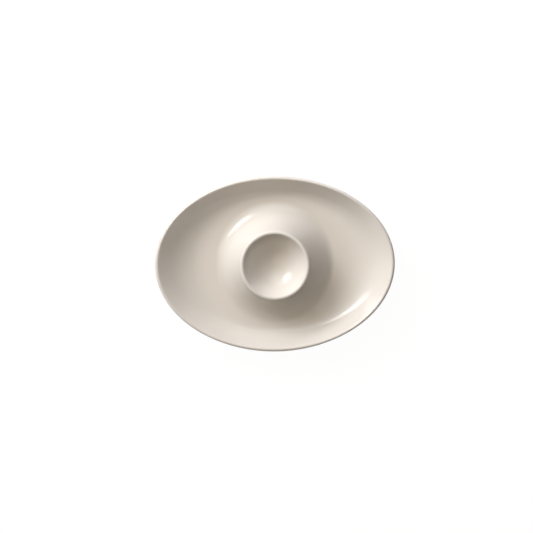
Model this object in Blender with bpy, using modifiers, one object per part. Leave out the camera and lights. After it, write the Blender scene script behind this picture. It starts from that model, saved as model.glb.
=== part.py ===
# An oval porcelain egg dish: a round egg cup rises from the middle of an oval trough,
# and the whole stands on an oval foot ring. The dish, the cup and the foot are formed
# one by one and luted together with slip, so each seam is a bed of its own.
# Metres, +Z up. The foot stands on Z = 0 and the long axis lies along X.

import math

import bmesh
import bpy
import numpy as np

# Oval dish
DISH_LENGTH = 0.160
DISH_WIDTH = 0.1176
DISH_RIM_HEIGHT = 0.0202  # top of the rim above the table
DISH_RIM_THICKNESS = 0.0030  # full round lip
DISH_WALL = 0.0044  # at the trough and at the cup's seam
END_RUN = 0.0374  # level run of the wall from the trough out to the rim, at the ends of the oval
SIDE_RUN = 0.0166  # and at its sides
WALL_CURVE = 2.3  # power by which the wall's slope grows from the trough
WALL_BAND = 0.0076  # width in plan of the straight band below the lip

# Egg cup
CUP_HEIGHT = 0.0292  # top of the cup's rim above the table
CUP_RIM_DIAMETER = 0.0435  # on the crest of the rim
CUP_RIM_ROUND = 0.0014  # radius of the rim's lip
FLANK_TOP_SLOPE = math.radians(71.5)  # outside of the cup under its rim, from the horizontal
FLANK_SEAM_SLOPE = math.radians(54.0)  # outside of the cup at the seam
BOWL_KNEE_DIAMETER = 0.0378  # where the round bottom turns into the straight flare
BOWL_FLARE = math.radians(59.5)  # inside of the cup, from the horizontal
BOWL_WALL = 0.0044
HOLLOW_ROUND = 0.0022  # radius at the top of the hollow under the cup

# Seam of cup and dish, a half lap along the cup's flank
SEAM_DIAMETER = 0.0590
LAP_LENGTH = 0.0030
LIP_THICKNESS = 0.0017  # the cup's lip over the lap

# Foot ring
FOOT_HEIGHT = 0.0026
FOOT_TREAD = 0.0028  # width of the flat that stands on the table
FOOT_ROOT = 0.0050  # width where it meets the dish
FOOT_EDGE = 0.0005  # softened edges of the tread

# Luting slip
SLIP_THICKNESS = 0.0004
FIT = 0.0003  # clearance between neighbouring pieces

# Fineness of the facets
AROUND = 72
CUP_FOOT_STEPS = 6
WALL_STEPS = 6
BAND_STEPS = 2
LIP_STEPS = 6
BOWL_STEPS = 8
FLANK_STEPS = 4
HOLLOW_STEPS = 4
FOOT_STEPS = 4

SLIP_BED = SLIP_THICKNESS + 2 * FIT
TROUGH_LENGTH = DISH_LENGTH - 2 * END_RUN  # oval of lowest points between cup and wall
TROUGH_WIDTH = DISH_WIDTH - 2 * SIDE_RUN
TROUGH_HEIGHT = FOOT_HEIGHT + SLIP_BED + DISH_WALL
SEAM_RADIUS = SEAM_DIAMETER / 2
LIP_RADIUS = DISH_RIM_THICKNESS / 2
QUARTER = math.pi / 2


def new_material(name, color, roughness):
    material = bpy.data.materials.new(name)
    material.use_nodes = True
    shader = material.node_tree.nodes["Principled BSDF"]
    shader.inputs["Base Color"].default_value = (*color, 1.0)
    shader.inputs["Roughness"].default_value = roughness
    shader.inputs["Metallic"].default_value = 0.0
    return material


def add_part(name, mesh, material):
    mesh.materials.append(material)
    part = bpy.data.objects.new(name, mesh)
    parts.objects.link(part)
    part.parent = base
    return part


def loft(name, rings, material):
    """Closed tube through rings of AROUND points each, the last ring joined to the first."""
    shape = bmesh.new()
    corners = [[shape.verts.new(point) for point in ring] for ring in rings]
    for ring, following in zip(corners, corners[1:] + corners[:1]):
        for i in range(AROUND):
            j = (i + 1) % AROUND
            shape.faces.new((ring[i], ring[j], following[j], following[i]))
    bmesh.ops.recalc_face_normals(shape, faces=shape.faces)
    mesh = bpy.data.meshes.new(name)
    shape.to_mesh(mesh)
    shape.free()
    mesh.shade_smooth()
    mesh.set_sharp_from_angle(angle=math.radians(40))
    return add_part(name, mesh, material)


def turn(name, profile, material, closed=False):
    """Turned piece: its profile of (radius, height) runs down the outer side and spins about Z."""
    count = len(profile)
    edges = [(i, i + 1) for i in range(count - 1)]
    if closed:
        edges.append((count - 1, 0))
    mesh = bpy.data.meshes.new(name)
    mesh.from_pydata([(radius, 0.0, height) for radius, height in profile], edges, [])
    part = add_part(name, mesh, material)
    screw = part.modifiers.new("Turn", "SCREW")
    screw.axis = "Z"
    screw.angle = 2 * math.pi
    screw.steps = AROUND
    screw.render_steps = AROUND
    screw.use_merge_vertices = True
    screw.merge_threshold = 0.0001
    screw.use_smooth_shade = True
    return part


def arc(center, radius, start, end, steps):
    """Points (radius, height) on an arc, both ends included."""
    angles = np.linspace(start, end, steps + 1)
    return [(center[0] + radius * math.cos(a), center[1] + radius * math.sin(a)) for a in angles]


def oval(length, width, height):
    """Ring of points on a level ellipse."""
    angles = np.arange(AROUND) * 2 * math.pi / AROUND
    heights = np.full(AROUND, height)
    return np.stack([length / 2 * np.cos(angles), width / 2 * np.sin(angles), heights], axis=1)


def on_flank(along, depth):
    """(radius, height) at the cup's flank: along runs downhill from the seam, depth into the wall."""
    slope = FLANK_SEAM_SLOPE - along / flank_curve
    radius = flank_center[0] - (flank_curve + depth) * math.sin(slope)
    height = flank_center[1] - (flank_curve + depth) * math.cos(slope)
    return radius, height


def flank_ring(along, depth):
    radius, height = on_flank(along, depth)
    return oval(2 * radius, 2 * radius, height)


def plan_run(start, end):
    """Level distance between the matching points of two rings, and its direction."""
    step = (end - start)[:, :2]
    run = np.linalg.norm(step, axis=1)
    return run, step / run[:, None]


def toward_cup(share):
    """Ring on the dish's top from the trough (share 0) up to the seam (share 1): a cubic that leaves
    the trough level and meets the cup's flank along its slope."""
    climb = seam_height - TROUGH_HEIGHT
    squareness = -np.sum(cup_way * seam[:, :2], axis=1) / SEAM_RADIUS
    end_slope = math.tan(FLANK_SEAM_SLOPE) * squareness * cup_run
    share = np.broadcast_to(share, AROUND)
    ring = trough + (seam - trough) * share[:, None]
    ring[:, 2] = TROUGH_HEIGHT + climb * share**2 * (3 - 2 * share) + end_slope * share**2 * (share - 1)
    return ring


def wall_rise(share):
    """Rise of the wall over its run for an end slope of 1: a power curve, then the straight band."""
    curved = np.minimum(share, band_start)
    rise = curved * (curved / band_start) ** WALL_CURVE / (WALL_CURVE + 1)
    return rise + share - curved


def toward_lip(share):
    """Ring on the dish's top from the trough (share 0) up to the lip (share 1)."""
    share = np.broadcast_to(share, AROUND)
    ring = trough + (lip_edge - trough) * share[:, None]
    ring[:, 2] = TROUGH_HEIGHT + np.tan(lip_slope) * wall_run * wall_rise(share)
    return ring


def on_lip(angle):
    """Ring on the round of the lip, the angle turning from outward to upward."""
    ring = lip_center.copy()
    ring[:, :2] += wall_way * (LIP_RADIUS * np.cos(angle))[:, None]
    ring[:, 2] += LIP_RADIUS * np.sin(angle)
    return ring


def wall_thickness(share):
    """The wall thins from the trough to the lip."""
    return DISH_WALL + (DISH_RIM_THICKNESS - DISH_WALL) * np.broadcast_to(share, AROUND)


def sunk(rings, depths):
    """Rings moved into the wall, square to the surface that they lie on."""
    surface = np.array(rings)
    around = np.roll(surface, -1, axis=1) - np.roll(surface, 1, axis=1)
    across = np.gradient(surface, axis=0)
    normals = np.cross(across, around)
    normals /= np.linalg.norm(normals, axis=2)[:, :, None]
    return list(surface - np.array(depths)[:, :, None] * normals)


def make_dish(material):
    cup_shares = np.linspace(1, 0, CUP_FOOT_STEPS + 1)[:-1]
    wall_shares = [band_start * share for share in np.linspace(0, 1, WALL_STEPS + 1)]
    band_shares = np.linspace(0, 1, BAND_STEPS + 1)[1:]
    wall_shares += [band_start + (1 - band_start) * share for share in band_shares]
    top = [toward_cup(share) for share in cup_shares] + [toward_lip(share) for share in wall_shares]
    depths = [wall_thickness(0) for share in cup_shares] + [wall_thickness(share) for share in wall_shares]
    bottom = sunk(top, depths)
    lip = [on_lip(lip_slope + QUARTER - math.pi * share) for share in np.linspace(0, 1, LIP_STEPS + 1)[1:]]
    tongue_depth = LIP_THICKNESS + SLIP_BED
    lap = [
        flank_ring(0, DISH_WALL),
        flank_ring(-LAP_LENGTH, DISH_WALL),
        flank_ring(-LAP_LENGTH, tongue_depth),
        flank_ring(0, tongue_depth),
    ]
    # Under the dish the rings run back from the lip to the seam.
    return loft("oval_dish", top + lip + bottom[-2:0:-1] + lap, material)


def make_cup(material):
    bowl_radius = BOWL_KNEE_DIAMETER / 2 / math.sin(BOWL_FLARE)
    back_radius = bowl_radius + BOWL_WALL
    bowl_center = np.array([0, knee_height + bowl_radius * math.cos(BOWL_FLARE)])
    bowl = arc(bowl_center, bowl_radius, -QUARTER, BOWL_FLARE - QUARTER, BOWL_STEPS)
    rim = arc(rim_center, CUP_RIM_ROUND, QUARTER + BOWL_FLARE, QUARTER - FLANK_TOP_SLOPE, LIP_STEPS)
    flank = [on_flank(along, 0) for along in np.linspace(-flank_length, -FIT, FLANK_STEPS + 1)[1:]]
    lap = [
        on_flank(-FIT, LIP_THICKNESS),
        on_flank(-LAP_LENGTH - FIT, LIP_THICKNESS),
        on_flank(-LAP_LENGTH - FIT, DISH_WALL),
    ]
    # Under the cup a round joins the inside of the flank to the back of the bowl: its centre lies
    # one round away from both.
    bowl_reach = back_radius + HOLLOW_ROUND
    flank_reach = flank_curve + DISH_WALL + HOLLOW_ROUND
    between = flank_center - bowl_center
    apart = math.hypot(*between)
    along = (bowl_reach**2 - flank_reach**2 + apart**2) / (2 * apart)
    aside = math.sqrt(bowl_reach**2 - along**2)
    across = np.array([between[1], -between[0]])
    hollow_center = bowl_center + (along * between + aside * across) / apart
    to_flank = flank_center - hollow_center
    to_bowl = bowl_center - hollow_center
    bowl_side = math.atan2(to_bowl[1], to_bowl[0])
    hollow = arc(hollow_center, HOLLOW_ROUND, math.atan2(to_flank[1], to_flank[0]), bowl_side, HOLLOW_STEPS)
    back = arc(bowl_center, back_radius, bowl_side - math.pi, -QUARTER, BOWL_STEPS)[1:]
    return turn("egg_cup", bowl + rim + flank + lap + hollow + back, material)


def foot_bed(below, spread):
    """Rings under the dish's trough, at a distance below its underside, across a width."""
    top = []
    depths = []
    for reach in np.linspace(-spread / 2, spread / 2, FOOT_STEPS + 1):
        wall_share = max(reach, 0) / wall_run
        top.append(toward_lip(wall_share) if reach > 0 else toward_cup(-reach / cup_run))
        depths.append(wall_thickness(wall_share) + below)
    return sunk(top, depths)


def make_foot(material):
    def ring(width, height):
        return oval(TROUGH_LENGTH + width, TROUGH_WIDTH + width, height)

    tread = [
        ring(FOOT_TREAD + 2 * FOOT_EDGE, FOOT_EDGE),
        ring(FOOT_TREAD, 0),
        ring(-FOOT_TREAD, 0),
        ring(-FOOT_TREAD - 2 * FOOT_EDGE, FOOT_EDGE),
    ]
    return loft("foot_ring", foot_bed(SLIP_BED, FOOT_ROOT) + tread, material)


def make_cup_seam(material):
    inner = -LAP_LENGTH + FIT
    outer = -2 * FIT
    over = LIP_THICKNESS + FIT
    under = over + SLIP_THICKNESS
    profile = [on_flank(inner, over), on_flank(outer, over), on_flank(outer, under), on_flank(inner, under)]
    return turn("cup_luting_seam", profile, material, closed=True)


def make_foot_seam(material):
    spread = FOOT_ROOT - 2 * FIT
    over = foot_bed(FIT, spread)
    under = foot_bed(FIT + SLIP_THICKNESS, spread)
    return loft("foot_luting_seam", over + under[::-1], material)


for thing in list(bpy.data.objects):
    bpy.data.objects.remove(thing)

parts = bpy.data.collections.new("Oval egg dish")
bpy.context.scene.collection.children.link(parts)
base = bpy.data.objects.new("egg_dish", None)
parts.objects.link(base)

# Where the cup's lip runs into its flank and into the flare of its bowl
rim_center = (CUP_RIM_DIAMETER / 2, CUP_HEIGHT - CUP_RIM_ROUND)
flare_end, flank_start = arc(rim_center, CUP_RIM_ROUND, QUARTER + BOWL_FLARE, QUARTER - FLANK_TOP_SLOPE, 1)
knee_height = flare_end[1] - (flare_end[0] - BOWL_KNEE_DIAMETER / 2) * math.tan(BOWL_FLARE)

# The flank is one even curve from the lip down to the seam, about a centre outside the cup
flank_curve = (SEAM_RADIUS - flank_start[0]) / (math.sin(FLANK_TOP_SLOPE) - math.sin(FLANK_SEAM_SLOPE))
flank_center = np.array(flank_start)
flank_center += [flank_curve * math.sin(FLANK_TOP_SLOPE), flank_curve * math.cos(FLANK_TOP_SLOPE)]
flank_length = flank_curve * (FLANK_TOP_SLOPE - FLANK_SEAM_SLOPE)
seam_height = flank_center[1] - flank_curve * math.cos(FLANK_SEAM_SLOPE)

# Guide rings of the dish: the wall meets the lip square to its slope, so both settle together
seam = flank_ring(0, 0)
trough = oval(TROUGH_LENGTH, TROUGH_WIDTH, TROUGH_HEIGHT)
lip_center = oval(
    DISH_LENGTH - DISH_RIM_THICKNESS, DISH_WIDTH - DISH_RIM_THICKNESS, DISH_RIM_HEIGHT - LIP_RADIUS
)
cup_run, cup_way = plan_run(trough, seam)
lip_edge = lip_center
for _ in range(8):
    wall_run, wall_way = plan_run(trough, lip_edge)
    band_start = 1 - WALL_BAND / wall_run
    lip_slope = np.arctan((lip_edge[:, 2] - TROUGH_HEIGHT) / (wall_run * wall_rise(1)))
    lip_edge = on_lip(lip_slope + QUARTER)

glazed_porcelain = new_material("glazed_porcelain", (0.74, 0.69, 0.62), 0.12)
bare_porcelain = new_material("bare_porcelain", (0.72, 0.68, 0.62), 0.6)
fired_slip = new_material("fired_slip", (0.70, 0.66, 0.60), 0.7)

make_dish(glazed_porcelain)
make_cup(glazed_porcelain)
make_foot(bare_porcelain)
make_cup_seam(fired_slip)
make_foot_seam(fired_slip)
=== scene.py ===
# Oval egg dish of ivory glazed porcelain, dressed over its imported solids. Metres, +Z up, long side on X.
import math

import bpy
import numpy as np
from mathutils import Euler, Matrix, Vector


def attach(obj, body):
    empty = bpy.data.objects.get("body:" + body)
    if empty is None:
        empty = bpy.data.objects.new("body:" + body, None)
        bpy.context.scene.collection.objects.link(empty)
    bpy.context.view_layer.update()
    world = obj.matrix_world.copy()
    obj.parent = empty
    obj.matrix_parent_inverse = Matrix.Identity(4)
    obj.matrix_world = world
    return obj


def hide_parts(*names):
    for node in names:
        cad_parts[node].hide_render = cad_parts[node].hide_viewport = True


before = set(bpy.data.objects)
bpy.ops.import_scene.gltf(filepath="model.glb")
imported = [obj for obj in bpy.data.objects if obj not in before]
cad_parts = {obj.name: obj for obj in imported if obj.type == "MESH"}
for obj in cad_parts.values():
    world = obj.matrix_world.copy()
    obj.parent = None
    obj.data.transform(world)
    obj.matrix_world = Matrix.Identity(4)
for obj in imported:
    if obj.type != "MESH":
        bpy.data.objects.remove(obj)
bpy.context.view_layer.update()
scene = bpy.context.scene
quarter = math.pi / 2


def fromHex(code):
    shares = [int(code[i:i + 2], 16) / 255 for i in (0, 2, 4)]
    linear = [c / 12.92 if c <= 0.04045 else ((c + 0.055) / 1.055) ** 2.4 for c in shares]
    return (*linear, 1.0)


# sockets take a value or another node's output
def addNode(tree, kind, sockets=None, **settings):
    node = tree.nodes.new(kind)
    for name, value in settings.items():
        setattr(node, name, value)
    for name, value in (sockets or {}).items():
        if isinstance(value, bpy.types.NodeSocket):
            tree.links.new(value, node.inputs[name])
        else:
            node.inputs[name].default_value = value
    return node.outputs


# each step is (its name, operation, terms), a term being a number or an earlier name
def addSteps(tree, known, kind, steps):
    for name, operation, *terms in steps:
        sockets = {i: known.get(term, term) for i, term in enumerate(terms)}
        outputs = addNode(tree, kind, sockets, operation=operation)
        known[name] = outputs[1 if operation in ("LENGTH", "DISTANCE", "DOT_PRODUCT") else 0]


# one input for each size, of its own kind: a whole number, a length or a material
def startTree(name, sizes):
    kinds = {int: "NodeSocketInt", float: "NodeSocketFloat"}
    tree = bpy.data.node_groups.new(name, "GeometryNodeTree")
    tree.interface.new_socket("Guide", in_out="INPUT", socket_type="NodeSocketGeometry")
    for label, value in sizes.items():
        tree.interface.new_socket(label, in_out="INPUT", socket_type=kinds.get(type(value), "NodeSocketMaterial"))
    tree.interface.new_socket("Piece", in_out="OUTPUT", socket_type="NodeSocketGeometry")
    given = addNode(tree, "NodeGroupInput")
    return tree, {label: given[label] for label in ["Guide", *sizes]}


weldDistance = 0.000002
creaseAngle = math.radians(40)


# welds the grid's seams, shades it, keeps its creases sharp and hands it out
def endTree(tree, known, grid, place, glaze):
    moved = addNode(tree, "GeometryNodeSetPosition", {"Geometry": grid, "Position": place})[0]
    toned = addNode(
        tree, "GeometryNodeStoreNamedAttribute", {"Geometry": moved, "Name": "glaze", "Value": glaze},
        data_type="FLOAT", domain="POINT",
    )[0]
    welded = addNode(tree, "GeometryNodeMergeByDistance", {"Geometry": toned, "Distance": weldDistance})[0]
    smooth = addNode(tree, "GeometryNodeSetShadeSmooth", {"Geometry": welded})[0]
    bend = addNode(tree, "GeometryNodeInputMeshEdgeAngle")[0]
    crease = addNode(tree, "ShaderNodeMath", {0: bend, 1: creaseAngle}, operation="GREATER_THAN")[0]
    creased = addNode(
        tree, "GeometryNodeStoreNamedAttribute", {"Geometry": smooth, "Name": "sharp_edge", "Value": crease},
        data_type="BOOLEAN", domain="EDGE",
    )[0]
    real = addNode(tree, "GeometryNodeRealizeInstances", {"Geometry": creased})[0]
    painted = addNode(tree, "GeometryNodeSetMaterial", {"Geometry": real, "Material": known["Material"]})[0]
    addNode(tree, "NodeGroupOutput", {"Piece": painted})


def makePiece(name, guide, tree, sizes):
    piece = bpy.data.objects.new(name, guide)
    scene.collection.objects.link(piece)
    modifier = piece.modifiers.new("shape", "NODES")
    modifier.node_group = tree
    for socket in tree.interface.items_tree:
        if socket.in_out == "INPUT" and socket.name in sizes:
            modifier[socket.identifier] = sizes[socket.name]
    shaped = piece.evaluated_get(bpy.context.evaluated_depsgraph_get())
    mesh = bpy.data.meshes.new_from_object(shaped)
    piece.modifiers.remove(modifier)
    piece.data = mesh
    mesh.name = name
    print(name, len(mesh.polygons), "faces")
    return piece


glazeIor = 1.42  # a soft glaze, so that the lamps show in it without burning out


# Feldspar glaze over a warm white porcelain body, fired to a wet gloss: a clear mirror over soft ivory,
# a little deeper where the glaze pools and paler where it runs thin on the rims
def makeGlazedPorcelain():
    look = {
        "thin": "E2DCD6",
        "pooled": "DED7CF",
        "tone": 0.030,  # cloudy tone of the body, about 30 mm across
        "drift": 0.3,  # how far the clouds shift the tone either way
        "ripple": 0.0030,  # orange peel of the glaze, coarser than the real 1 mm so that it shows
        "rippleHeight": 0.0000012,
        "gloss": (0.095, 0.115),
    }
    material = bpy.data.materials.new("glazedPorcelain")
    material.use_nodes = True
    tree = material.node_tree
    shader = tree.nodes["Principled BSDF"]
    place = addNode(tree, "ShaderNodeTexCoord")["Object"]
    glaze = addNode(tree, "ShaderNodeAttribute", attribute_name="glaze")["Fac"]
    cloud = addNode(tree, "ShaderNodeTexNoise", {"Vector": place, "Scale": 1 / look["tone"], "Detail": 3.0})[0]
    drift = addNode(
        tree, "ShaderNodeMath", {0: cloud, 1: 2 * look["drift"], 2: -look["drift"]}, operation="MULTIPLY_ADD"
    )[0]
    depth = addNode(tree, "ShaderNodeMath", {0: glaze, 1: drift}, operation="ADD", use_clamp=True)[0]
    tint = addNode(
        tree, "ShaderNodeMix", {0: depth, 6: fromHex(look["thin"]), 7: fromHex(look["pooled"])}, data_type="RGBA"
    )[2]
    tree.links.new(tint, shader.inputs["Base Color"])
    ripple = addNode(tree, "ShaderNodeTexNoise", {"Vector": place, "Scale": 1 / look["ripple"], "Detail": 1.0})[0]
    low, high = look["gloss"]
    gloss = addNode(tree, "ShaderNodeMapRange", {0: cloud, 3: low, 4: high})[0]
    tree.links.new(gloss, shader.inputs["Roughness"])
    bump = addNode(
        tree, "ShaderNodeBump", {"Height": ripple, "Strength": 1.0, "Distance": look["rippleHeight"]}
    )[0]
    tree.links.new(bump, shader.inputs["Normal"])
    shader.inputs["IOR"].default_value = glazeIor
    return material


# Foot of the same porcelain: glazed on its sides, wiped bare on the tread, where the fired body is chalky and fine
def makeBareFoot():
    look = {
        "glazed": "E4DACD",
        "bare": "DDD5C9",
        "bareBelow": 0.0006,
        "edgeFade": 0.0003,  # from bare to glazed
        "wander": 0.004,  # the wiped edge wavers every few millimetres
        "wanderHeight": 0.0004,
        "gloss": (0.14, 0.75),  # glazed, bare
        "grain": 0.0004,
        "grainHeight": 0.00002,
        "grainStrength": 0.6,
    }
    material = bpy.data.materials.new("wipedPorcelainFoot")
    material.use_nodes = True
    tree = material.node_tree
    shader = tree.nodes["Principled BSDF"]
    place = addNode(tree, "ShaderNodeTexCoord")["Object"]
    height = addNode(tree, "ShaderNodeSeparateXYZ", {0: place})[2]
    wander = addNode(tree, "ShaderNodeTexNoise", {"Vector": place, "Scale": 1 / look["wander"], "Detail": 2.0})[0]
    edge = addNode(
        tree, "ShaderNodeMath", {0: wander, 1: look["wanderHeight"], 2: height}, operation="MULTIPLY_ADD"
    )[0]
    glazedAbove = look["bareBelow"] + look["edgeFade"]
    bare = addNode(tree, "ShaderNodeMapRange", {0: edge, 1: look["bareBelow"], 2: glazedAbove, 3: 1.0, 4: 0.0})[0]
    tint = addNode(
        tree, "ShaderNodeMix", {0: bare, 6: fromHex(look["glazed"]), 7: fromHex(look["bare"])}, data_type="RGBA"
    )[2]
    tree.links.new(tint, shader.inputs["Base Color"])
    low, high = look["gloss"]
    rough = addNode(tree, "ShaderNodeMapRange", {0: bare, 3: low, 4: high})[0]
    tree.links.new(rough, shader.inputs["Roughness"])
    grain = addNode(tree, "ShaderNodeTexNoise", {"Vector": place, "Scale": 1 / look["grain"], "Detail": 2.0})[0]
    chalk = addNode(tree, "ShaderNodeMath", {0: grain, 1: bare}, operation="MULTIPLY")[0]
    bump = addNode(
        tree, "ShaderNodeBump",
        {"Height": chalk, "Strength": look["grainStrength"], "Distance": look["grainHeight"]},
    )[0]
    tree.links.new(bump, shader.inputs["Normal"])
    shader.inputs["IOR"].default_value = glazeIor
    return material


glazedPorcelain = makeGlazedPorcelain()
bareFoot = makeBareFoot()
print("materials ready")

aroundSteps = 288

# which row of the grid a point is in, and its spot around
gridSteps = [
    ("columns", "ADD", "Around", 1.0),
    ("share", "DIVIDE", "index", "columns"),
    ("row", "FLOOR", "share"),
    ("rowStart", "MULTIPLY", "row", "columns"),
    ("column", "SUBTRACT", "index", "rowStart"),
    ("spot", "FLOORED_MODULO", "column", "Around"),
]


# any turned piece: spins a profile of (reach, height) about Z, the reach counted from an oval path
def turnTree():
    kinds = {"Path Length": 0.0, "Path Width": 0.0, "Points": 0, "Around": 0, "Material": None}
    tree, known = startTree("turnedPiece", kinds)
    known["index"] = addNode(tree, "GeometryNodeInputIndex")[0]
    addSteps(tree, known, "ShaderNodeMath", [
        *gridSteps,
        ("spotShare", "DIVIDE", "spot", "Around"),
        ("angle", "MULTIPLY", "spotShare", 2 * math.pi),
        ("across", "COSINE", "angle"),
        ("along", "SINE", "angle"),
        ("halfLength", "MULTIPLY", "Path Length", 0.5),
        ("halfWidth", "MULTIPLY", "Path Width", 0.5),
    ])
    point = addNode(tree, "GeometryNodeInputPosition")[0]
    profile = addNode(
        tree, "GeometryNodeSampleIndex", {"Geometry": known["Guide"], "Value": point, "Index": known["row"]},
        data_type="FLOAT_VECTOR",
    )[0]
    kept = addNode(tree, "GeometryNodeInputNamedAttribute", {"Name": "glaze"}, data_type="FLOAT")[0]
    glaze = addNode(
        tree, "GeometryNodeSampleIndex", {"Geometry": known["Guide"], "Value": kept, "Index": known["row"]},
        data_type="FLOAT",
    )[0]
    known["reach"], _, known["height"] = addNode(tree, "ShaderNodeSeparateXYZ", {0: profile})
    addSteps(tree, known, "ShaderNodeMath", [
        ("reachLength", "ADD", "halfLength", "reach"),
        ("reachWidth", "ADD", "halfWidth", "reach"),
        ("x", "MULTIPLY", "reachLength", "across"),
        ("y", "MULTIPLY", "reachWidth", "along"),
    ])
    place = addNode(tree, "ShaderNodeCombineXYZ", {0: known["x"], 1: known["y"], 2: known["height"]})[0]
    grid = addNode(
        tree, "GeometryNodeMeshGrid", {"Vertices X": known["Points"], "Vertices Y": known["columns"]}
    )[0]
    endTree(tree, known, grid, place, glaze)
    return tree


turnedPiece = turnTree()


def profileMesh(name, profile, glaze):
    mesh = bpy.data.meshes.new(name)
    points = [(reach, 0.0, height) for reach, height in profile]
    mesh.from_pydata(points, [(i, i + 1) for i in range(len(points) - 1)], [])
    mesh.attributes.new("glaze", "FLOAT", "POINT").data.foreach_set("value", glaze)
    return mesh


def arc(center, radius, start, end, steps):
    angles = np.linspace(start, end, steps + 1)
    return [(center[0] + radius * math.cos(a), center[1] + radius * math.sin(a)) for a in angles]


def line(start, end, steps):
    return [tuple(point) for point in np.linspace(start, end, steps + 1)]


cup = {
    "height": 0.0292,
    "rimDiameter": 0.0435,  # on the crest
    "rimRound": 0.0014,
    "flankTop": math.radians(71.5),  # slope of the outside under the rim
    "flankSeam": math.radians(54),  # and where the dish takes over
    "kneeDiameter": 0.0378,  # round bottom below, straight flare above
    "flare": math.radians(59.5),
    "wall": 0.0044,
    "hollowRound": 0.0022,  # top of the hollow underneath
    "seamDiameter": 0.059,
}
cupSteps = {"bowl": 36, "side": 8, "rim": 20, "flank": 24, "inside": 8, "hollow": 12, "back": 24}

# the flank is one even curve from the rim to the seam, about a centre outside the cup
seamRadius = cup["seamDiameter"] / 2
rimCenter = np.array([cup["rimDiameter"] / 2, cup["height"] - cup["rimRound"]])
rim = arc(rimCenter, cup["rimRound"], quarter + cup["flare"], quarter - cup["flankTop"], cupSteps["rim"])
flankCurve = (seamRadius - rim[-1][0]) / (math.sin(cup["flankTop"]) - math.sin(cup["flankSeam"]))
flankCenter = rim[-1] + flankCurve * np.array([math.sin(cup["flankTop"]), math.cos(cup["flankTop"])])
seamHeight = flankCenter[1] - flankCurve * math.cos(cup["flankSeam"])


# bowl, rim and flank of the cup, then back up inside the flank and over the back of the bowl
def makeCup():
    flare = cup["flare"]
    bowlRadius = cup["kneeDiameter"] / 2 / math.sin(flare)
    kneeHeight = rim[0][1] - (rim[0][0] - cup["kneeDiameter"] / 2) * math.tan(flare)
    bowlCenter = np.array([0, kneeHeight + bowlRadius * math.cos(flare)])
    bowl = arc(bowlCenter, bowlRadius, -quarter, flare - quarter, cupSteps["bowl"])
    side = line(bowl[-1], rim[0], cupSteps["side"])
    flankEnd = -quarter - cup["flankSeam"]
    flank = arc(flankCenter, flankCurve, -quarter - cup["flankTop"], flankEnd, cupSteps["flank"])
    # the hollow's round touches the inside of the flank and the back of the bowl
    backRadius = bowlRadius + cup["wall"]
    insideCurve = flankCurve + cup["wall"]
    bowlReach = backRadius + cup["hollowRound"]
    between = flankCenter - bowlCenter
    apart = math.hypot(*between)
    along = (bowlReach**2 - (insideCurve + cup["hollowRound"]) ** 2 + apart**2) / (2 * apart)
    aside = math.sqrt(bowlReach**2 - along**2)
    hollowCenter = bowlCenter + (along * between + aside * np.array([between[1], -between[0]])) / apart
    flankSide = math.atan2(*(flankCenter - hollowCenter)[::-1])
    bowlSide = math.atan2(*(bowlCenter - hollowCenter)[::-1])
    inside = arc(flankCenter, insideCurve, flankEnd, flankSide - math.pi, cupSteps["inside"])
    hollow = arc(hollowCenter, cup["hollowRound"], flankSide, bowlSide, cupSteps["hollow"])
    back = arc(bowlCenter, backRadius, bowlSide - math.pi, -quarter, cupSteps["back"])
    profile = bowl + side[1:] + rim[1:] + flank[1:] + inside + hollow[1:] + back[1:]
    depth = cup["height"] - bowl[0][1]
    pooled = [((cup["height"] - height) / depth) ** 2 for _, height in bowl + side[1:]]
    glaze = pooled + [0.0] * (len(profile) - len(pooled))
    sizes = {
        "Path Length": 0.0, "Path Width": 0.0, "Points": len(profile), "Around": aroundSteps,
        "Material": glazedPorcelain,
    }
    return makePiece("egg_cup_glazed", profileMesh("cupProfile", profile, glaze), turnedPiece, sizes)


dish = {
    "length": 0.160,
    "width": 0.1176,
    "rimHeight": 0.0202,
    "rimThickness": 0.003,
    "wall": 0.0044,
    "troughLength": 0.080,  # drawn in at the ends, where the long walls start to rise early
    "troughWidth": 0.0844,
    "troughHeight": 0.008,
    "wallCurve": 2.3,
    "band": 0.0076,  # straight part of the wall below the lip, in plan
}
dishSteps = {"cup": 48, "curve": 44, "band": 12, "lip": 16}
settleRounds = 12
hair = 0.001  # far less than one row of the lip


# ring of guide points: the cup's seam, the trough's lowest line and the middle of the lip, with the lip's slope
# and the share of the wall where it turns straight
def dishGuide():
    angles = np.arange(aroundSteps) * 2 * math.pi / aroundSteps
    circle = np.stack([np.cos(angles), np.sin(angles), 0 * angles], axis=1)
    lipRadius = dish["rimThickness"] / 2
    rings = {
        "seam": circle * seamRadius,
        "trough": circle * [dish["troughLength"] / 2, dish["troughWidth"] / 2, 0],
        "lip": circle * [dish["length"] / 2 - lipRadius, dish["width"] / 2 - lipRadius, 0],
    }
    # the wall ends square to its own slope on the lip, so both settle together
    lipHeight = dish["rimHeight"] - lipRadius - dish["troughHeight"]
    run = np.linalg.norm(rings["lip"] - rings["trough"], axis=1)
    slope = np.arctan(lipHeight / run)
    for _ in range(settleRounds):
        wallRun = run - lipRadius * np.sin(slope)
        bandStart = 1 - dish["band"] / wallRun
        rise = bandStart / (dish["wallCurve"] + 1) + 1 - bandStart
        slope = np.arctan((lipHeight + lipRadius * np.cos(slope)) / (wallRun * rise))
    mesh = bpy.data.meshes.new("dishGuide")
    mesh.from_pydata(rings["trough"].tolist(), [], [])
    for name, ring in rings.items():
        mesh.attributes.new(name, "FLOAT_VECTOR", "POINT").data.foreach_set("vector", ring.ravel())
    mesh.attributes.new("lipSlope", "FLOAT", "POINT").data.foreach_set("value", slope)
    mesh.attributes.new("bandStart", "FLOAT", "POINT").data.foreach_set("value", bandStart)
    return mesh


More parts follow.
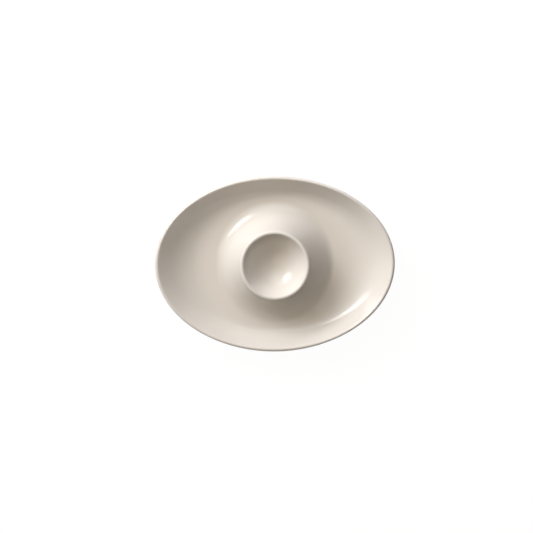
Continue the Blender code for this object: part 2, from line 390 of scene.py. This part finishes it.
# lofts the dish from its guide ring: rows run from the seam down to the trough, up the wall, round the lip
# and back underneath at the wall's thickness
def dishTree(sizes):
    tree, known = startTree("loftedDish", sizes)
    known["index"] = addNode(tree, "GeometryNodeInputIndex")[0]
    addSteps(tree, known, "ShaderNodeMath", gridSteps)
    guides = {
        "seam": "FLOAT_VECTOR", "trough": "FLOAT_VECTOR", "lip": "FLOAT_VECTOR",
        "lipSlope": "FLOAT", "bandStart": "FLOAT",
    }
    for name, kind in guides.items():
        value = addNode(tree, "GeometryNodeInputNamedAttribute", {"Name": name}, data_type=kind)[0]
        known[name] = addNode(
            tree, "GeometryNodeSampleIndex", {"Geometry": known["Guide"], "Value": value, "Index": known["spot"]},
            data_type=kind,
        )[0]
    addSteps(tree, known, "ShaderNodeVectorMath", [
        ("cupStep", "SUBTRACT", "seam", "trough"),
        ("cupRun", "LENGTH", "cupStep"),
        ("cupWay", "NORMALIZE", "cupStep"),
        ("wallStep", "SUBTRACT", "lip", "trough"),
        ("wallReach", "LENGTH", "wallStep"),
        ("wallWay", "NORMALIZE", "wallStep"),
        ("seamWay", "NORMALIZE", "seam"),
        ("facing", "DOT_PRODUCT", "cupWay", "seamWay"),
    ])
    addSteps(tree, known, "ShaderNodeMath", [
        # rows to shares: cupShare is 1 at the seam, wallShare 1 at the lip, and both are 0 at the trough
        ("bandFoot", "ADD", "Cup Steps", "Curve Steps"),
        ("topSteps", "ADD", "bandFoot", "Band Steps"),
        ("lipEnd", "ADD", "topSteps", "Lip Steps"),
        ("lastRow", "ADD", "lipEnd", "topSteps"),
        ("rows", "ADD", "lastRow", 2.0),
        ("rowBack", "SUBTRACT", "lastRow", "row"),
        ("nearRow", "MINIMUM", "row", "rowBack"),
        ("lowRow", "MAXIMUM", "nearRow", 0.0),
        ("station", "MINIMUM", "lowRow", "topSteps"),
        ("cupDown", "DIVIDE", "station", "Cup Steps"),
        ("cupLeft", "SUBTRACT", 1.0, "cupDown"),
        ("cupShare", "MAXIMUM", "cupLeft", 0.0),
        ("curveRow", "SUBTRACT", "station", "Cup Steps"),
        ("curveUp", "DIVIDE", "curveRow", "Curve Steps"),
        ("curveLow", "MINIMUM", "curveUp", 1.0),
        ("curveShare", "MAXIMUM", "curveLow", 0.0),
        ("bandRow", "SUBTRACT", "station", "bandFoot"),
        ("bandUp", "DIVIDE", "bandRow", "Band Steps"),
        ("bandShare", "MAXIMUM", "bandUp", 0.0),
        ("bandPart", "SUBTRACT", 1.0, "bandStart"),
        ("curved", "MULTIPLY", "curveShare", "bandStart"),
        ("straight", "MULTIPLY", "bandShare", "bandPart"),
        ("wallShare", "ADD", "curved", "straight"),
        ("lipRow", "SUBTRACT", "row", "topSteps"),
        ("lipShare", "DIVIDE", "lipRow", "Lip Steps"),
        ("pastLip", "GREATER_THAN", "lipShare", 1 - hair),
        ("notLast", "GREATER_THAN", "rowBack", -0.5),
        ("under", "MULTIPLY", "pastLip", "notLast"),
        ("pastWall", "GREATER_THAN", "lipShare", hair),
        ("onLip", "SUBTRACT", "pastWall", "pastLip"),
        # cup side: a cubic, level at the trough and along the cup's flank at the seam
        ("seamTan", "TANGENT", "Seam Slope"),
        ("seamFall", "MULTIPLY", "seamTan", "facing"),
        ("endFall", "MULTIPLY", "seamFall", "cupRun"),
        ("endRise", "MULTIPLY", "endFall", -1.0),
        ("climb", "SUBTRACT", "Seam Height", "Trough Height"),
        ("cupSquare", "MULTIPLY", "cupShare", "cupShare"),
        ("easeLeft", "MULTIPLY_ADD", "cupShare", -2.0, 3.0),
        ("ease", "MULTIPLY", "cupSquare", "easeLeft"),
        ("easeRise", "MULTIPLY", "ease", "climb"),
        ("cubeLess", "SUBTRACT", "cupShare", 1.0),
        ("cube", "MULTIPLY", "cupSquare", "cubeLess"),
        ("cupRise", "MULTIPLY_ADD", "cube", "endRise", "easeRise"),
        ("easeSlopeLeft", "SUBTRACT", "cupShare", "cupSquare"),
        ("easeSlope", "MULTIPLY", "easeSlopeLeft", 6.0),
        ("climbSlope", "MULTIPLY", "easeSlope", "climb"),
        ("cubeSlopeThree", "MULTIPLY", "cupSquare", 3.0),
        ("cubeSlope", "MULTIPLY_ADD", "cupShare", -2.0, "cubeSlopeThree"),
        ("cupSlopeRun", "MULTIPLY_ADD", "cubeSlope", "endRise", "climbSlope"),
        ("cupSlope", "DIVIDE", "cupSlopeRun", "cupRun"),
        # wall: its slope grows by a power, then stays over the band
        ("lipSine", "SINE", "lipSlope"),
        ("lipTan", "TANGENT", "lipSlope"),
        ("lipRadius", "MULTIPLY", "Rim Thickness", 0.5),
        ("lipBack", "MULTIPLY", "lipRadius", "lipSine"),
        ("wallRun", "SUBTRACT", "wallReach", "lipBack"),
        ("power", "POWER", "curveShare", "Wall Curve"),
        ("curveMore", "ADD", "Wall Curve", 1.0),
        ("curvedRise", "MULTIPLY", "curved", "power"),
        ("curvedPart", "DIVIDE", "curvedRise", "curveMore"),
        ("riseShare", "ADD", "curvedPart", "straight"),
        ("riseRun", "MULTIPLY", "riseShare", "wallRun"),
        ("wallRise", "MULTIPLY", "riseRun", "lipTan"),
        ("wallSlope", "MULTIPLY", "power", "lipTan"),
        # height on top, and the step down to the underside, square to the section
        ("rise", "ADD", "cupRise", "wallRise"),
        ("top", "ADD", "rise", "Trough Height"),
        ("slopeTan", "ADD", "cupSlope", "wallSlope"),
        ("slope", "ARCTANGENT", "slopeTan"),
        ("thinning", "SUBTRACT", "Rim Thickness", "Wall"),
        ("thickness", "MULTIPLY_ADD", "thinning", "wallShare", "Wall"),
        ("sunk", "MULTIPLY", "thickness", "under"),
        ("slopeSine", "SINE", "slope"),
        ("slopeCosine", "COSINE", "slope"),
        ("outward", "MULTIPLY", "sunk", "slopeSine"),
        ("downward", "MULTIPLY", "sunk", "slopeCosine"),
        ("height", "SUBTRACT", "top", "downward"),
        ("onCup", "GREATER_THAN", "cupShare", 0.0),
        ("wallTravel", "MULTIPLY", "wallRun", "wallShare"),
        # full round of the lip
        ("lipTurn", "MULTIPLY_ADD", "lipShare", -math.pi, quarter),
        ("lipAngle", "ADD", "lipTurn", "lipSlope"),
        ("lipAcross", "COSINE", "lipAngle"),
        ("lipUp", "SINE", "lipAngle"),
        ("lipOut", "MULTIPLY", "lipAcross", "lipRadius"),
        ("lipMiddle", "SUBTRACT", "Rim Height", "lipRadius"),
        ("lipHeight", "MULTIPLY_ADD", "lipUp", "lipRadius", "lipMiddle"),
        # glaze pools in the trough
        ("cupBare", "SUBTRACT", 1.0, "cupShare"),
        ("wallBare", "SUBTRACT", 1.0, "wallShare"),
        ("pool", "MULTIPLY", "cupBare", "wallBare"),
        ("poolSquare", "MULTIPLY", "pool", "pool"),
    ])
    known["heightUp"] = addNode(tree, "ShaderNodeCombineXYZ", {2: known["height"]})[0]
    known["lipHeightUp"] = addNode(tree, "ShaderNodeCombineXYZ", {2: known["lipHeight"]})[0]
    addSteps(tree, known, "ShaderNodeVectorMath", [
        ("cupTravel", "MULTIPLY", "cupStep", "cupShare"),
        ("wallMove", "MULTIPLY", "wallWay", "wallTravel"),
        ("fromTrough", "ADD", "cupTravel", "wallMove"),
        ("plan", "ADD", "trough", "fromTrough"),
        ("wayGap", "SUBTRACT", "cupWay", "wallWay"),
        ("wayShift", "MULTIPLY", "wayGap", "onCup"),
        ("way", "ADD", "wallWay", "wayShift"),
        ("outMove", "MULTIPLY", "way", "outward"),
        ("planOut", "ADD", "plan", "outMove"),
        ("wallPoint", "ADD", "planOut", "heightUp"),
        ("lipMove", "MULTIPLY", "wallWay", "lipOut"),
        ("lipPlan", "ADD", "lip", "lipMove"),
        ("lipPoint", "ADD", "lipPlan", "lipHeightUp"),
        ("lipGap", "SUBTRACT", "lipPoint", "wallPoint"),
        ("lipShift", "MULTIPLY", "lipGap", "onLip"),
        ("place", "ADD", "wallPoint", "lipShift"),
    ])
    grid = addNode(
        tree, "GeometryNodeMeshGrid", {"Vertices X": known["rows"], "Vertices Y": known["columns"]}
    )[0]
    endTree(tree, known, grid, known["place"], known["poolSquare"])
    return tree


def makeDish():
    sizes = {
        "Seam Height": float(seamHeight), "Trough Height": dish["troughHeight"], "Rim Height": dish["rimHeight"],
        "Rim Thickness": dish["rimThickness"], "Wall": dish["wall"], "Seam Slope": cup["flankSeam"],
        "Wall Curve": dish["wallCurve"], "Cup Steps": dishSteps["cup"], "Curve Steps": dishSteps["curve"],
        "Band Steps": dishSteps["band"], "Lip Steps": dishSteps["lip"], "Around": aroundSteps,
        "Material": glazedPorcelain,
    }
    return makePiece("oval_dish_glazed", dishGuide(), dishTree(sizes), sizes)


foot = {
    "length": 0.0852,  # oval through the middle of the tread
    "width": 0.0844,
    "tread": 0.0028,
    "edge": 0.0006,
    "root": 0.0050,
    "fillet": 0.0012,
    "sunk": 0.0008,
    "glaze": 0.5,
}
footSteps = {"edge": 6, "fillet": 8}


# foot ring: flat tread with soft edges, sides that spread into the dish's underside
def makeFoot():
    halfTread = foot["tread"] / 2
    halfRoot = foot["root"] / 2
    under = dish["troughHeight"] - dish["wall"]
    spread = halfRoot + foot["fillet"]
    edgeOut = arc((halfTread, foot["edge"]), foot["edge"], -quarter, 0, footSteps["edge"])
    flare = arc((spread, under - foot["fillet"]), foot["fillet"], math.pi, quarter, footSteps["fillet"])
    outer = edgeOut + flare + [(spread, under + foot["sunk"])]
    inner = [(-reach, height) for reach, height in outer[::-1]]
    profile = outer + inner + outer[:1]
    sizes = {
        "Path Length": foot["length"], "Path Width": foot["width"], "Points": len(profile),
        "Around": aroundSteps, "Material": bareFoot,
    }
    guide = profileMesh("footProfile", profile, [foot["glaze"]] * len(profile))
    return makePiece("foot_ring_wiped", guide, turnedPiece, sizes)


dishPiece = makeDish()
cupPiece = makeCup()
footPiece = makeFoot()

for piece, slot, nodes in (
    (dishPiece, "glaze", ["oval_dish"]),
    (cupPiece, "glaze", ["egg_cup", "cup_luting_seam"]),
    (footPiece, "foot", ["foot_ring", "foot_luting_seam"]),
):
    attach(piece, "root")
    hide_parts(*nodes)
print("pieces dressed")


# white to the eye and to mirrors, plain pale card to the light, with the dish's faint shadow
def makeWhiteCard():
    look = {"card": "EDEDED", "faint": "454545", "glow": "FFFFFF", "strength": 0.97}
    material = bpy.data.materials.new("whiteCard")
    material.use_nodes = True
    tree = material.node_tree
    tree.nodes.clear()
    rays = addNode(tree, "ShaderNodeLightPath")
    mirrored = addNode(
        tree, "ShaderNodeMath", {0: rays["Is Glossy Ray"], 1: rays["Is Transmission Ray"]}, operation="MAXIMUM"
    )[0]
    seen = addNode(tree, "ShaderNodeMath", {0: rays["Is Camera Ray"], 1: mirrored}, operation="MAXIMUM")[0]
    card = addNode(tree, "ShaderNodeBsdfDiffuse", {"Color": fromHex(look["card"])})[0]
    faint = addNode(tree, "ShaderNodeBsdfDiffuse", {"Color": fromHex(look["faint"])})[0]
    glow = addNode(tree, "ShaderNodeEmission", {"Color": fromHex(look["glow"]), "Strength": look["strength"]})[0]
    shown = addNode(tree, "ShaderNodeAddShader", {0: faint, 1: glow})[0]
    mixed = addNode(tree, "ShaderNodeMixShader", {0: seen, 1: card, 2: shown})[0]
    addNode(tree, "ShaderNodeOutputMaterial", {"Surface": mixed})
    return material


stage = {
    "radius": 3.0,
    "floor": -0.00005,  # a hair under the foot's tread
    "height": 0.8,
    "sides": 64,
}


# round floor of white card with a low white wall far behind, all round
def makeStage(card):
    angles = np.arange(stage["sides"]) * 2 * math.pi / stage["sides"]
    ring = np.stack([np.cos(angles), np.sin(angles)], axis=1) * stage["radius"]
    low = [(x, y, stage["floor"]) for x, y in ring]
    high = [(x, y, stage["height"]) for x, y in ring]
    count = stage["sides"]
    sides = [(i, i + count, (i + 1) % count + count, (i + 1) % count) for i in range(count)]
    for name, points, faces in (("floor", low, [tuple(range(count))]), ("backdrop", low + high, sides)):
        mesh = bpy.data.meshes.new(name)
        mesh.from_pydata(points, [], faces)
        mesh.materials.append(card)
        thing = bpy.data.objects.new(name, mesh)
        scene.collection.objects.link(thing)


# studio: soft boxes at the upper left with a brighter patch in them, one close behind the dish, and a warm fill
lampFade = 0.93  # how softly a lamp fades from its middle to its edge
fill = {"tint": "FFEDCB", "strength": 0.006}  # light off the room's walls
studio = {
    "keyPatch": {"azimuth": 136.7, "elevation": 30.5, "distance": 2.22, "size": (1.56, 1.10), "power": 25.81},
    "lowBox": {"azimuth": 118.3, "elevation": 19.1, "distance": 1.49, "size": (1.93, 0.63), "power": 6.51},
    "wideBox": {"azimuth": 153.2, "elevation": 30.2, "distance": 2.29, "size": (3.76, 2.97), "power": 14.78},
    "backBox": {"azimuth": 91.4, "elevation": 51.8, "distance": 0.30, "size": (0.30, 0.30), "power": 0.29},
    "sideFill": {
        "azimuth": 203.0, "elevation": 72.2, "distance": 1.23, "size": (1.35, 1.35), "power": 2.85,
        "tint": fill["tint"],
    },
}


def makeLight(name, lamp):
    light = bpy.data.lights.new(name, "AREA")
    light.shape = "ELLIPSE"
    light.size, light.size_y = lamp["size"]
    light.energy = lamp["power"]
    light.color = fromHex(lamp.get("tint", "FFFFFF"))[:3]
    light.use_nodes = True
    tree = light.node_tree
    known = {"spot": addNode(tree, "ShaderNodeNewGeometry")["Parametric"]}
    middle = (0.5, 0.5, 0.0)
    addSteps(tree, known, "ShaderNodeVectorMath", [("reach", "DISTANCE", "spot", middle)])
    addSteps(tree, known, "ShaderNodeMath", [
        ("square", "MULTIPLY", "reach", "reach"),
        ("within", "MULTIPLY_ADD", "square", -4.0, 1.0),
        ("held", "MAXIMUM", "within", 0.0),
        ("fade", "POWER", "held", lampFade),
        ("glow", "MULTIPLY", "fade", 1 + lampFade),  # the same power in all
    ])
    tree.links.new(known["glow"], tree.nodes["Emission"].inputs["Strength"])
    turn = math.radians(lamp["azimuth"])
    lift = math.radians(lamp["elevation"])
    holder = bpy.data.objects.new(name, light)
    way = np.array([math.cos(turn) * math.cos(lift), math.sin(turn) * math.cos(lift), math.sin(lift)])
    holder.location = way * lamp["distance"]
    holder.rotation_euler = (quarter - lift, 0, turn + quarter)
    holder.visible_camera = False
    scene.collection.objects.link(holder)


def makeWorld():
    world = bpy.data.worlds.new("studioAir")
    scene.world = world
    world.use_nodes = True
    air = world.node_tree.nodes["Background"]
    air.inputs["Color"].default_value = fromHex(fill["tint"])
    air.inputs["Strength"].default_value = fill["strength"]


# the photo is taken from nearly straight above, from a little behind the middle
camera = {
    "turn": (-5.51, -0.19, -0.74),  # degrees, from straight down with +Y up
    "distance": 0.9,
    "sensor": 36,
    "pixels": 533,  # the photo's width
    "pixelsPerMm": 1.502,
    "shift": (-0.01581, -0.00376),
}


def makeCamera():
    lens = bpy.data.cameras.new("camera")
    holder = bpy.data.objects.new("camera", lens)
    aim = Euler([math.radians(angle) for angle in camera["turn"]])
    holder.location = aim.to_matrix() @ Vector((0, 0, camera["distance"])) + Vector((0, 0, dish["rimHeight"]))
    holder.rotation_euler = aim
    frameWidth = camera["pixels"] / camera["pixelsPerMm"] / 1000
    lens.sensor_width = camera["sensor"]
    lens.lens = camera["sensor"] * camera["distance"] / frameWidth
    lens.shift_x, lens.shift_y = camera["shift"]
    scene.collection.objects.link(holder)
    scene.camera = holder


makeStage(makeWhiteCard())
for name, lamp in studio.items():
    makeLight(name, lamp)
makeWorld()
makeCamera()
scene.view_settings.view_transform = "Standard"
print("stage, lights and camera ready")
